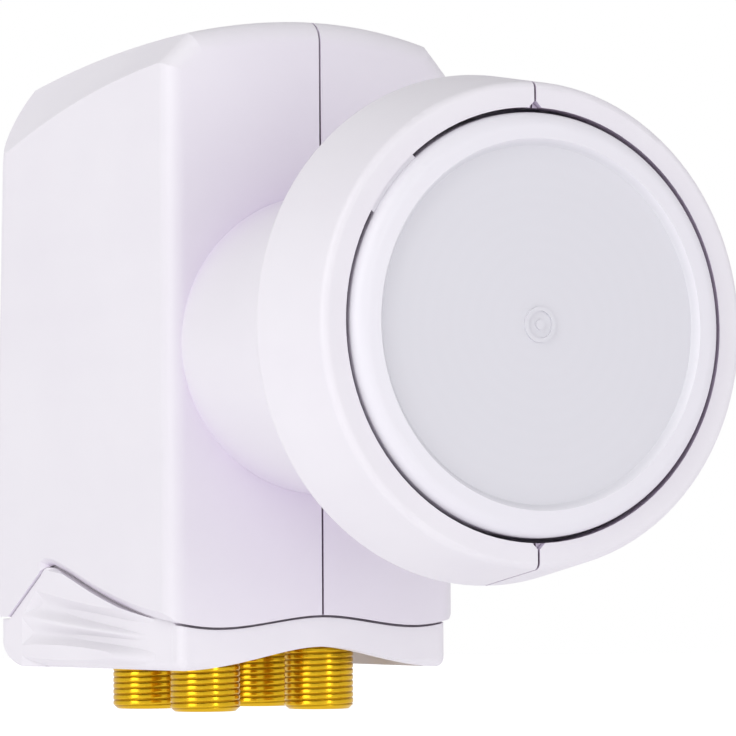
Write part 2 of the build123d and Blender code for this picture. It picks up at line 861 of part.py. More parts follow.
with BuildPart() as horizontal_probe:
    with BuildLine() as probe_path:
        FilletPolyline(
            (probe_x, probe_back, probe_low),
            (probe_x, probe_back, 0),
            (probe_reach, probe_back, 0),
            radius=probe_bend,
        )
    with BuildSketch(Plane.XY.offset(probe_low)):
        with Locations((probe_x, probe_back)):
            Circle(probe_radius)
    sweep(path=probe_path.wires()[0])

# Board parts on the under side, one in each channel, with its side, row, width, length and height.
chip_middle = row_y + connector_pitch / 2
chips = {
    "converter_chip": (1, -1, 5.0, 5.0, 0.9),
    "switch_chip": (-1, 1, 6.0, 6.0, 1.0),
    "voltage_regulator": (1, 1, 6.4, 5.6, 1.6),
    "crystal": (-1, -1, 3.2, 2.5, 0.8),
}
for chip_name, (side, row, width, length, height) in chips.items():
    with BuildPart() as chip:
        with BuildSketch(Plane.XY.offset(board_bottom)):
            with Locations((side * chip_spread, chip_middle + row * chip_offset)):
                Rectangle(width, length)
        extrude(amount=-height)
        chamfer(chip.faces().sort_by(Axis.Z)[0].edges(), chip_chamfer)
    chip.part.label = chip_name
    export_step(chip.part, f"parts/{chip_name}.step")

# Socket with a hexagon collar, its insulator and its centre contact.
socket_bore = connector_diameter / 2 - connector_wall
contact_low = connector_end + contact_depth
with BuildPart() as socket:
    with BuildSketch(Plane.XY.offset(connector_end)):
        Circle(connector_diameter / 2)
    extrude(amount=plate_bottom - connector_end)
    chamfer(socket.faces().sort_by(Axis.Z)[0].edges(), connector_chamfer)
    with BuildSketch(Plane.XY.offset(plate_bottom)):
        Circle(spigot_radius)
    extrude(amount=plate_thickness)
    with BuildSketch(Plane.XY.offset(plate_bottom)):
        RegularPolygon(hexagon_size / 2, 6, major_radius=False)
    extrude(amount=-hexagon_height)
    with BuildSketch(Plane.XY.offset(connector_end)):
        Circle(socket_bore)
    extrude(amount=gasket_bottom - connector_end, mode=Mode.SUBTRACT)

with BuildPart() as insulator:
    with BuildSketch(Plane.XY.offset(connector_end + insulator_recess)):
        Circle(socket_bore - fit_gap)
        Circle(insulator_mouth_radius, mode=Mode.SUBTRACT)
    extrude(amount=gasket_bottom - connector_end - insulator_recess)
    with BuildSketch(Plane.XY.offset(contact_low - 2 * fit_gap)):
        Circle(contact_sleeve_radius + fit_gap)
    extrude(amount=gasket_bottom - contact_low + overrun, mode=Mode.SUBTRACT)

with BuildPart() as contact:
    with BuildSketch(Plane.XY.offset(contact_low)):
        Circle(contact_sleeve_radius)
    extrude(amount=contact_sleeve_length)
    with BuildSketch(Plane.XY.offset(contact_low)):
        Circle(contact_tail_radius)
    extrude(amount=board_top + contact_tail_proud - contact_low)
    with BuildSketch(Plane.XY.offset(contact_low)):
        Circle(contact_bore_radius)
    extrude(amount=contact_bore_length, mode=Mode.SUBTRACT)

for number, (x, y) in enumerate(socket_places, start=1):
    for base_name, piece in (
        ("f_connector", socket),
        ("connector_insulator", insulator),
        ("centre_contact", contact),
    ):
        placed = Pos(x, y, 0) * piece.part
        placed.label = f"{base_name}_{number}"
        export_step(placed, f"parts/{base_name}_{number}.step")

named = {
    "left_shell": left_shell,
    "right_shell": right_shell,
    "weather_shield": weather_shield,
    "feed_cap": feed_cap,
    "feed_cap_o_ring": feed_cap_o_ring,
    "feedhorn_casting": feedhorn_casting,
    "connector_plate": connector_plate,
    "plate_gasket": plate_gasket,
    "plate_screws": plate_screws,
    "main_pcb": main_pcb,
    "pcb_screws": pcb_screws,
    "partition_shield": partition_shield,
    "vertical_probe": vertical_probe,
    "horizontal_probe": horizontal_probe,
}
for node_name, piece in named.items():
    piece.part.label = node_name
    export_step(piece.part, f"parts/{node_name}.step")
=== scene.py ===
"""Looks of the four-output satellite LNB: finishes, threaded sockets and the studio."""
import math

import bpy
from bpy.props import FloatProperty, FloatVectorProperty, IntProperty, PointerProperty
from bpy.types import Operator, Panel, PropertyGroup
from mathutils import Matrix, Vector


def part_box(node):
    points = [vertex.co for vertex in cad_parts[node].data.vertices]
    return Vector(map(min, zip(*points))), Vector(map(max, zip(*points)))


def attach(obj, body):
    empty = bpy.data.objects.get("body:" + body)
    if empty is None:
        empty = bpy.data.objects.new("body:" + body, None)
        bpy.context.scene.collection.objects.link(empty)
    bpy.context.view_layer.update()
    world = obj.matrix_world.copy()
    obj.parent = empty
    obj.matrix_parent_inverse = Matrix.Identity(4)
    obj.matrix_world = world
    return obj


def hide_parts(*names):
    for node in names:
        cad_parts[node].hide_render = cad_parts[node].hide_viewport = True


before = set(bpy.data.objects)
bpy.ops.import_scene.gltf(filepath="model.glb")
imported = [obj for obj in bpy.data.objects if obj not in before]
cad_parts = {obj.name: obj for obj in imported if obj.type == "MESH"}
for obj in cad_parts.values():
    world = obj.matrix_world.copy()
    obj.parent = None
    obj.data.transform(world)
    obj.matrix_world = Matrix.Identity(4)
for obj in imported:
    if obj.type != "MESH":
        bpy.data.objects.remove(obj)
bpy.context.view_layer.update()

bl_info = {
    "name": "Satellite LNB Looks",
    "version": (1, 0, 0),
    "blender": (4, 5, 0),
    "location": "View3D > Sidebar > LNB",
    "description": "Finishes, threaded sockets and studio of a four-output satellite LNB",
    "category": "Object",
}

SOCKETS = 4
STRAY_NORMAL = 0.5  # cosine between a corner normal and the faces round it

# Where the painted shade in the gaps turns pale, in metres of the shared frame
CUP_TOP = 0.028
PALE_SHADE_TOP = 0.036
FLANK_START = 0.01844
FLANK_END = 0.02
BODY_START = 0.015
BODY_END = 0.0225

# Radii between which the disc of the cap turns into its rim
DISC_END = 0.02235
RIM_START = 0.02295

# Share of the pitch where the thread reaches its bottom, and how brown its plain run-out is
THREAD_BOTTOM = 0.9
RUNOUT_GROOVE = 0.8

FLOOR_POINTS = 96
LAMP_TARGET = (0.0, 0.02, 0.0)
LAMPS = {  # place, then width and height, in metres
    "key": ((-1.0, -0.3, 0.2), (0.45, 0.6)),
    "upper": ((-0.8, -0.5, 0.8), (0.5, 0.5)),
    "fill": ((0.17, -1.2, 0.22), (0.22, 0.66)),
}


def colour_property(name, description, default):
    """A colour that can be changed in the panel, in linear values."""
    return FloatVectorProperty(
        name=name,
        description=description,
        default=default,
        min=0,
        max=1,
        size=3,
        subtype="COLOR",
    )


def length_property(name, description, default):
    """A length that can be changed in the panel, in metres."""
    return FloatProperty(
        name=name,
        description=description,
        default=default,
        min=0,
        precision=5,
        subtype="DISTANCE",
        unit="LENGTH",
    )


class FinishSettings(PropertyGroup):
    """Colours and grain of the moulded and plated surfaces."""

    housing_colour: colour_property(
        "Housing", "White of the two shells", (0.825, 0.812, 0.838)
    )
    housing_shade: colour_property(
        "Housing shade", "Darker tone that drifts through the white", (0.79, 0.772, 0.808)
    )
    shield_colour: colour_property(
        "Weather shield", "White of the sliding cover", (0.85, 0.835, 0.86)
    )
    cap_rim_colour: colour_property(
        "Cap rim", "White of the rolled rim of the feed cap", (0.805, 0.797, 0.835)
    )
    cap_disc_colour: colour_property(
        "Cap disc", "Cooler white of the thin disc of the feed cap", (0.715, 0.715, 0.75)
    )
    gold_colour: colour_property(
        "Socket plating", "Yellow plating of the sockets", (0.8, 0.5, 0.02)
    )
    gold_dark_colour: colour_property(
        "Plating in the grooves", "Browner plating at the bottom of the thread", (0.5, 0.27, 0.007)
    )
    # Painted shade: a lilac tone laid where the cup and neck close the shells in.
    housing_hollow_shade: colour_property(
        "Housing hollow",
        "Lilac tone of the shells where the cup and neck close them in",
        (0.76, 0.685, 0.825),
    )
    # Painted shade: a greyer tone laid between the ridges of the grip.
    shield_hollow_shade: colour_property(
        "Shield hollow", "Greyer tone between the ridges of the grip", (0.66, 0.645, 0.675)
    )
    # Painted shade: a dark plum tone laid deep in the seams and gaps of the housing.
    painted_gap_shade: colour_property(
        "Grime", "Plum tone deep in the seams and gaps of the housing", (0.19, 0.125, 0.19)
    )
    # Paler painted shade for the gaps above the cup and along the flanks.
    pale_gap_shade: colour_property(
        "Washed grime",
        "Paler tone above the cup and along the flanks, where rain washes them",
        (0.66, 0.62, 0.67),
    )
    # Painted shade on the shield close under the edge of the shells.
    painted_edge_shade: colour_property(
        "Edge grime", "Tone of the shield close under the edge of the shells", (0.46, 0.4, 0.48)
    )
    # How far a facing wall reaches to lay painted shade in a gap.
    gap_shade_reach: length_property(
        "Grime reach", "Distance within which a facing wall darkens a gap", 0.0012
    )
    # How far the cup and neck reach to lay painted shade on the shells.
    housing_hollow_shade_reach: length_property(
        "Housing hollow reach", "Distance within which the cup and neck tint the shells", 0.06
    )
    # How far a ridge reaches to lay painted shade in the valley beside it.
    shield_hollow_shade_reach: length_property(
        "Shield hollow reach", "Distance within which a ridge tints the valley beside it", 0.004
    )
    grain_size: length_property(
        "Mould grain", "Size of the fine grain that the mould leaves", 0.0004
    )
    grain_depth: length_property(
        "Grain depth", "Height of that grain", 0.000012
    )


class SocketSettings(PropertyGroup):
    """Sizes of the thread on the four sockets."""

    thread_pitch: length_property("Pitch", "Distance from one thread to the next", 0.000794)
    thread_depth: length_property("Depth", "Depth of the thread groove", 0.00013)
    crest_share: FloatProperty(
        name="Crest share",
        description="Share of the pitch taken by the crest",
        default=0.55,
        min=0.1,
        max=0.8,
    )
    crest_radius: length_property("Crest radius", "Radius of the thread at its crest", 0.00475)
    spigot_radius: length_property("Spigot radius", "Radius of the socket inside the plate", 0.00505)
    bore_gap: length_property("Bore gap", "Room between the bore and the insulator", 0.00005)
    mouth_chamfer: length_property("Mouth chamfer", "Chamfer on the inside of the mouth", 0.00025)
    seat_gap: length_property("Seat gap", "Room between the collar and the plate", 0.00002)
    edge_step: length_property("Edge step", "Small step at the run-out and on the collar", 0.0001)
    end_chamfer: length_property("End chamfer", "Chamfer on the outside of the mouth", 0.0006)
    hexagon_size: length_property("Hexagon", "Width of the collar across its flats", 0.011)
    hexagon_height: length_property("Hexagon height", "Height of the collar", 0.0026)
    hexagon_chamfer: length_property("Hexagon chamfer", "Chamfer on the corners of the collar", 0.0004)
    runout: length_property("Run-out", "Plain neck between the thread and the collar", 0.0011)
    segments: IntProperty(
        name="Segments", description="Points round a socket", default=96, min=48, max=192
    )
    rows_per_turn: IntProperty(
        name="Rows", description="Rows of points along one turn of the thread", default=10, min=6, max=16
    )


class StageSettings(PropertyGroup):
    """Camera, lamps and floor of the studio."""

    camera_place: FloatVectorProperty(
        name="Camera place",
        description="Where the camera stands",
        default=(-0.29608, -0.52499, -0.02930),
        size=3,
        subtype="TRANSLATION",
        unit="LENGTH",
    )
    camera_turn: FloatProperty(
        name="Camera turn",
        description="Angle of the camera round the object",
        default=math.radians(-29.13),
        subtype="ANGLE",
    )
    camera_rise: FloatProperty(
        name="Camera rise",
        description="Angle of the camera above the horizon",
        default=math.radians(-2.42),
        subtype="ANGLE",
    )
    camera_roll: FloatProperty(
        name="Camera roll",
        description="Roll of the camera about its own axis",
        default=math.radians(-0.37),
        subtype="ANGLE",
    )
    camera_lens: FloatProperty(
        name="Lens", description="Focal length in millimetres", default=227.24, min=20
    )
    floor_height: FloatProperty(
        name="Floor height",
        description="Height of the floor, under the shield at full travel",
        default=-0.12,
        unit="LENGTH",
    )
    floor_radius: length_property("Floor radius", "Half width of the floor", 4.0)
    floor_colour: colour_property("Floor", "Colour of the floor", (0.95, 0.95, 0.95))
    floor_glow: colour_property("Floor glow", "Light that the floor gives off", (0.265, 0.255, 0.28))
    floor_lift: colour_property("Floor lift", "White added where the floor is seen", (0.65, 0.65, 0.65))
    sky_colour: colour_property("Sky", "Colour of the light from all sides", (0.98, 0.96, 1.0))
    sky_strength: FloatProperty(
        name="Sky strength", description="Level of the light from all sides", default=0.79, min=0
    )
    sky_fall: FloatProperty(
        name="Sky fall", description="How much darker the light is overhead", default=0.42, min=0, max=1
    )
    key_power: FloatProperty(
        name="Key lamp",
        description="Power of the large lamp on the left",
        default=2.1,
        min=0,
        unit="POWER",
    )
    upper_power: FloatProperty(
        name="Upper lamp",
        description="Power of the lamp high on the left",
        default=2.2,
        min=0,
        unit="POWER",
    )
    fill_power: FloatProperty(
        name="Fill lamp",
        description="Power of the lamp in front",
        default=1.9,
        min=0,
        unit="POWER",
    )


class Wire:
    """A node socket that takes part in plain arithmetic."""

    def __init__(self, finish, socket):
        self.finish = finish
        self.socket = socket

    def maths(self, operation, first, second):
        return self.finish.node("ShaderNodeMath", {"operation": operation}, {0: first, 1: second})

    def __add__(self, other):
        return self.maths("ADD", self, other)

    def __radd__(self, other):
        return self.maths("ADD", other, self)

    def __sub__(self, other):
        return self.maths("SUBTRACT", self, other)

    def __rsub__(self, other):
        return self.maths("SUBTRACT", other, self)

    def __mul__(self, other):
        return self.maths("MULTIPLY", self, other)

    def __rmul__(self, other):
        return self.maths("MULTIPLY", other, self)

    def __truediv__(self, other):
        return self.maths("DIVIDE", self, other)

    def __rtruediv__(self, other):
        return self.maths("DIVIDE", other, self)


class Finish:
    """A node tree that is written line by line."""

    def __init__(self, tree):
        self.tree = tree
        tree.nodes.clear()

    def node(self, kind, settings=None, sockets=None, output=0):
        """Add a node, set its settings, then set or link its sockets, and return one output."""
        added = self.tree.nodes.new(kind)
        for setting, value in (settings or {}).items():
            if setting == "stops":
                self.set_stops(added.color_ramp, value)
            else:
                setattr(added, setting, value)
        for socket, value in (sockets or {}).items():
            if isinstance(value, Wire):
                self.tree.links.new(value.socket, added.inputs[socket])
            else:
                added.inputs[socket].default_value = value
        return Wire(self, added.outputs[output])

    @staticmethod
    def set_stops(ramp, stops):
        while len(ramp.elements) < len(stops):
            ramp.elements.new(1.0)
        for element, (position, level) in zip(ramp.elements, stops):
            element.position = position
            element.color = (level, level, level, 1)

    def place(self):
        """Position on the object, in metres of the shared frame."""
        return self.node("ShaderNodeTexCoord", output="Object")

    def stretched(self, place, scale):
        """The same position with its three axes scaled."""
        return self.node("ShaderNodeVectorMath", {"operation": "MULTIPLY"}, {0: place, 1: scale})

    def noise(self, place, size, detail=2.0, roughness=0.5):
        """Soft noise with features of the given size in metres, from 0 to 1."""
        sockets = {"Vector": place, "Scale": 1 / size, "Detail": detail, "Roughness": roughness}
        return self.node("ShaderNodeTexNoise", {"noise_dimensions": "3D"}, sockets)

    def ramp(self, value, *stops):
        """A value passed through the stops of a ramp."""
        return self.node("ShaderNodeValToRGB", {"stops": stops}, {"Fac": value})

    def rise(self, value, start, end):
        """0 up to the start, 1 from the end on, and a straight rise between them."""
        return self.ramp((value - start) / (end - start), (0.0, 0.0), (1.0, 1.0))

    def mix(self, factor, first, second):
        """One colour turning into another."""
        sockets = {0: factor, 6: self.opaque(first), 7: self.opaque(second)}
        return self.node("ShaderNodeMix", {"data_type": "RGBA"}, sockets, output=2)

    @staticmethod
    def opaque(colour):
        return colour if isinstance(colour, Wire) else (*colour, 1)

    def crevice(self, reach, *stops):
        """1 deep in a gap or under an edge, 0 on an open face: ambient occlusion that sets where shade
        is painted.
        """
        facing = self.node("ShaderNodeNewGeometry", output="True Normal")
        sockets = {"Distance": reach, "Normal": facing}
        openness = self.node("ShaderNodeAmbientOcclusion", {"samples": 8}, sockets, "AO")
        return self.ramp(openness, *stops)

    def bump(self, height, distance, strength=1.0):
        """A normal that follows a height from 0 to 1 over the given distance."""
        sockets = {"Height": height, "Distance": distance, "Strength": strength}
        return self.node("ShaderNodeBump", None, sockets)

    def surface(self, **sockets):
        """The principled shader and the output that end a material."""
        named = {name.replace("_", " ").title(): value for name, value in sockets.items()}
        if "Ior" in named:
            named["IOR"] = named.pop("Ior")
        self.output(self.node("ShaderNodeBsdfPrincipled", None, named))

    def output(self, shader):
        end = self.tree.nodes.new("ShaderNodeOutputMaterial")
        self.tree.links.new(shader.socket, end.inputs["Surface"])


def new_finish(name):
    """An empty material and the tree to write it in."""
    material = bpy.data.materials.new(name)
    material.use_nodes = True
    return material, Finish(material.node_tree)


def dress(material, *nodes):
    """Give carried-over nodes a finish."""
    for name in nodes:
        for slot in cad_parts[name].material_slots:
            slot.material = material


def settle_normals(*nodes):
    """A modifier that turns a stray corner normal of a carried-over mesh back to the faces round it."""
    tree = bpy.data.node_groups.new("settled_normals", "GeometryNodeTree")
    for way in ("INPUT", "OUTPUT"):
        tree.interface.new_socket("Mesh", in_out=way, socket_type="NodeSocketGeometry")
    flow = Finish(tree)
    packed = flow.node("NodeGroupInput")
    shaded = flow.node("GeometryNodeInputNormal", output="Normal")
    facing = flow.node("GeometryNodeInputNormal", output="True Normal")
    area = flow.node("GeometryNodeInputMeshFaceArea")
    gathered = flow.node("ShaderNodeVectorMath", {"operation": "SCALE"}, {0: facing, "Scale": area})
    for domain in ("FACE", "POINT"):
        settings = {"data_type": "FLOAT_VECTOR", "domain": domain}
        gathered = flow.node("GeometryNodeFieldOnDomain", settings, {0: gathered})
    around = flow.node("ShaderNodeVectorMath", {"operation": "NORMALIZE"}, {0: gathered})
    agreement = flow.node(
        "ShaderNodeVectorMath", {"operation": "DOT_PRODUCT"}, {0: shaded, 1: around}, "Value"
    )
    stray = flow.node("FunctionNodeCompare", {"operation": "LESS_THAN"}, {0: agreement, 1: STRAY_NORMAL})
    normal = flow.node(
        "GeometryNodeSwitch",
        {"input_type": "VECTOR"},
        {"Switch": stray, "False": shaded, "True": around},
    )
    settled = flow.node(
        "GeometryNodeSetMeshNormal",
        {"mode": "FREE", "domain": "CORNER"},
        {"Mesh": packed, "Custom Normal": normal},
    )
    end = tree.nodes.new("NodeGroupOutput")
    tree.links.new(settled.socket, end.inputs[0])
    for name in nodes:
        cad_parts[name].modifiers.new("settled_normals", "NODES").node_group = tree


def add_piece(name, body, vertices, faces, material):
    """A new mesh piece that rides on a body and takes its finish from a slot."""
    mesh = bpy.data.meshes.new(name)
    mesh.from_pydata(vertices, [], faces)
    mesh.materials.append(material)
    mesh.validate()
    piece = bpy.data.objects.new(name, mesh)
    bpy.context.scene.collection.objects.link(piece)
    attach(piece, body)
    return piece


def moulded_plastic(
    name, settings, colour, painted_hollow_shade, painted_hollow_reach, painted_gap_shade, gap_shade_stops, roughness
):
    """White plastic with a fine mould grain, a slow drift of tone, faint flow streaks, and painted shade
    in its hollows, seams and gaps.
    """
    material, finish = new_finish(name)
    place = finish.place()
    drift = finish.noise(place, size=0.022, detail=3.0)
    streak = finish.noise(finish.stretched(place, (1.0, 0.12, 1.0)), size=0.006, detail=2.0)
    grain = finish.noise(place, size=settings.grain_size, detail=3.0, roughness=0.6)
    waviness = finish.noise(place, size=0.012, detail=1.0)
    tone = finish.ramp(drift * 0.7 + streak * 0.3, (0.3, 0.0), (0.75, 1.0))
    height = grain * 0.6 + waviness * 0.4
    # Painted shade: the white drifts to a lilac or grey tone where nearby walls close the surface in.
    hollow_shade_mask = finish.crevice(painted_hollow_reach, (0.3, 1.0), (0.93, 0.0))
    white = finish.mix(hollow_shade_mask, finish.mix(tone, colour, settings.housing_shade), painted_hollow_shade)
    # Painted shade: a dark tone laid in seams, gaps and under edges, where ambient occlusion finds the
    # surface shut in.
    gap_shade_mask = finish.crevice(settings.gap_shade_reach, *gap_shade_stops)
    across, behind, above = (
        finish.node("ShaderNodeSeparateXYZ", None, {0: place}, axis) for axis in "XYZ"
    )
    # The painted gap shade turns paler above the cup and along the flanks of the body.
    high = finish.rise(above, CUP_TOP, PALE_SHADE_TOP)
    flank = finish.rise(across * across, FLANK_START**2, FLANK_END**2)
    on_body = finish.rise(behind, BODY_START, BODY_END)
    gap_shade_tone = finish.mix(high + flank * on_body, painted_gap_shade, settings.pale_gap_shade)
    finish.surface(
        base_color=finish.mix(gap_shade_mask, white, gap_shade_tone),
        roughness=roughness + (grain - 0.5) * 0.12 + (drift - 0.5) * 0.1,
        normal=finish.bump(height, distance=settings.grain_depth, strength=0.6),
        ior=1.5,
    )
    return material


class LNB_OT_housing(Operator):
    """Finish the two shells with moulded white plastic, with painted shade in their seams, gaps and
    hollows
    """

    bl_idname = "lnb.housing"
    bl_label = "Housing shells"

    def execute(self, context):
        settings = context.scene.lnb_finish
        material = moulded_plastic(
            "shell_plastic",
            settings,
            colour=settings.housing_colour,
            painted_hollow_shade=settings.housing_hollow_shade,
            painted_hollow_reach=settings.housing_hollow_shade_reach,
            painted_gap_shade=settings.painted_gap_shade,
            gap_shade_stops=((0.2, 1.0), (0.46, 0.0)),
            roughness=0.42,
        )
        dress(material, "left_shell", "right_shell")
        settle_normals("left_shell", "right_shell")
        return {"FINISHED"}


class LNB_OT_weather_shield(Operator):
    """Finish the sliding weather shield, with painted shade under the edge of the shells and between its
    ridges
    """

    bl_idname = "lnb.weather_shield"
    bl_label = "Weather shield"

    def execute(self, context):
        settings = context.scene.lnb_finish
        material = moulded_plastic(
            "sliding_shield_plastic",
            settings,
            colour=settings.shield_colour,
            painted_hollow_shade=settings.shield_hollow_shade,
            painted_hollow_reach=settings.shield_hollow_shade_reach,
            painted_gap_shade=settings.painted_edge_shade,
            gap_shade_stops=((0.34, 1.0), (0.6, 0.0)),
            roughness=0.45,
        )
        dress(material, "weather_shield")
        return {"FINISHED"}


class LNB_OT_feed_cap(Operator):
    """Finish the feed cap: a whiter rolled rim round a cooler thin disc"""

    bl_idname = "lnb.feed_cap"
    bl_label = "Feed cap"

    def execute(self, context):
        settings = context.scene.lnb_finish
        material, finish = new_finish("cap_polypropylene")
        place = finish.place()
        from_axis = finish.stretched(place, (1.0, 0.0, 1.0))
        radius = finish.node("ShaderNodeVectorMath", {"operation": "LENGTH"}, {0: from_axis}, "Value")
        on_rim = finish.rise(radius, DISC_END, RIM_START)
        cloud = finish.noise(place, size=0.016, detail=3.0)
        grain = finish.noise(place, size=settings.grain_size, detail=2.0, roughness=0.6)
        rings = finish.node(
            "ShaderNodeTexWave",
            {"wave_type": "RINGS", "rings_direction": "Y"},
            {"Vector": place, "Scale": 160.0, "Distortion": 1.5, "Detail": 1.0},
            "Fac",
        )
        shaded = [0.96 * c for c in settings.cap_disc_colour]
        disc = finish.mix(cloud * 0.5 + rings * 0.12, settings.cap_disc_colour, shaded)
        finish.surface(
            base_color=finish.mix(on_rim, disc, settings.cap_rim_colour),
            roughness=0.4 + (cloud - 0.5) * 0.12 + (grain - 0.5) * 0.08,
            normal=finish.bump(grain * 0.5 + cloud * 0.5, distance=settings.grain_depth, strength=0.5),
            ior=1.49,
        )
        dress(material, "feed_cap")
        return {"FINISHED"}


class LNB_OT_threaded_sockets(Operator):
    """Cut the thread, collar and mouth of the four plated sockets"""

    bl_idname = "lnb.threaded_sockets"
    bl_label = "Threaded sockets"

    def execute(self, context):
        finishes = context.scene.lnb_finish
        material = self.plating(finishes)
        for number in range(1, SOCKETS + 1):
            self.socket(context.scene.lnb_sockets, number, material)
        return {"FINISHED"}

    @staticmethod
    def plating(settings):
        """Yellow plating, browner in the bottom of the thread, with fine turning marks."""
        material, finish = new_finish("socket_plating")
        place = finish.place()
        groove = finish.node("ShaderNodeAttribute", {"attribute_name": "groove"}, None, "Fac")
        patches = finish.noise(place, size=0.0025, detail=3.0)
        marks = finish.noise(finish.stretched(place, (0.05, 0.05, 1.0)), size=0.00009, detail=2.0)
        browning = finish.ramp(groove * 0.75 + patches * 0.35, (0.25, 0.0), (1.0, 1.0))
        finish.surface(
            base_color=finish.mix(browning, settings.gold_colour, settings.gold_dark_colour),
            metallic=1.0,
            roughness=0.2 + groove * 0.14 + (patches - 0.5) * 0.12,
            normal=finish.bump(marks, distance=0.000006, strength=0.5),
        )
        return material

    def socket(self, sizes, number, material):
        """One socket: bore, mouth, helical thread, run-out, chamfered hexagon and spigot."""
        node = f"f_connector_{number}"
        low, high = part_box(node)
        centre = (low + high) / 2
        plate_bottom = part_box("connector_plate")[0].z
        insulator_low, insulator_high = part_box(f"connector_insulator_{number}")
        bore = (insulator_high.x - insulator_low.x) / 2 + sizes.bore_gap
        crest = sizes.crest_radius
        collar_low = plate_bottom - sizes.hexagon_height
        seat = plate_bottom - sizes.seat_gap
        count = sizes.segments
        rings = []
        grooves = []

        def ring(height, radius_at, groove_at=None):
            row = []
            for step in range(count):
                turn = 2 * math.pi * step / count
                radius = radius_at(turn)
                x = centre.x + radius * math.cos(turn)
                y = centre.y + radius * math.sin(turn)
                row.append((x, y, height))
                grooves.append(groove_at(turn) if groove_at else 0.0)
            rings.append(row)

        def round_ring(height, radius, groove=0.0):
            ring(height, lambda turn: radius, lambda turn: groove)

        def hexagon(turn):
            side = math.pi / 3
            return sizes.hexagon_size / 2 / math.cos((turn + side / 2) % side - side / 2)

        def thread_share(height, turn):
            """0 on the crest of the thread and 1 at its bottom."""
            phase = ((height - low.z) / sizes.thread_pitch - turn / (2 * math.pi)) % 1.0
            past_crest = abs(phase - 0.5) * 2 - sizes.crest_share
            share = min(max(past_crest / (THREAD_BOTTOM - sizes.crest_share), 0.0), 1.0)
            return share * share * (3 - 2 * share)

        round_ring(high.z, bore)
        round_ring(low.z + sizes.mouth_chamfer, bore)
        round_ring(low.z, bore + sizes.mouth_chamfer)
        thread_top = collar_low - sizes.runout
        rows = round((thread_top - low.z) / sizes.thread_pitch * sizes.rows_per_turn)
        for row in range(rows + 1):
            height = low.z + (thread_top - low.z) * row / rows
            limit = crest - max(0.0, sizes.end_chamfer - (height - low.z))

            def radius_at(turn, height=height, limit=limit):
                return min(limit, crest - sizes.thread_depth * thread_share(height, turn))

            ring(height, radius_at, lambda turn, height=height: thread_share(height, turn))
        root = crest - sizes.thread_depth
        round_ring(thread_top + sizes.edge_step, root, RUNOUT_GROOVE)
        round_ring(collar_low, root, RUNOUT_GROOVE)
        chamfer = sizes.hexagon_chamfer
        inscribed = sizes.hexagon_size / 2 + sizes.edge_step
        round_ring(collar_low, inscribed - chamfer / 2)
        ring(collar_low + chamfer, lambda turn: min(hexagon(turn), inscribed + chamfer))
        ring(collar_low + 2 * chamfer, hexagon)
        ring(seat, hexagon)
        round_ring(seat, sizes.spigot_radius)
        round_ring(high.z, sizes.spigot_radius)

        vertices = [point for row in rings for point in row]
        faces = []
        for row in range(len(rings)):
            here = row * count
            following = (row + 1) % len(rings) * count
            for step in range(count):
                beside = (step + 1) % count
                faces.append((here + step, here + beside, following + beside, following + step))
        name = f"threaded_socket_{number}"
        piece = add_piece(name, "housing", vertices, faces, material)
        groove = piece.data.attributes.new("groove", "FLOAT", "POINT")
        groove.data.foreach_set("value", grooves)
        piece.data.shade_smooth()
        piece.data.set_sharp_from_angle(angle=math.radians(35))
        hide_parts(node)


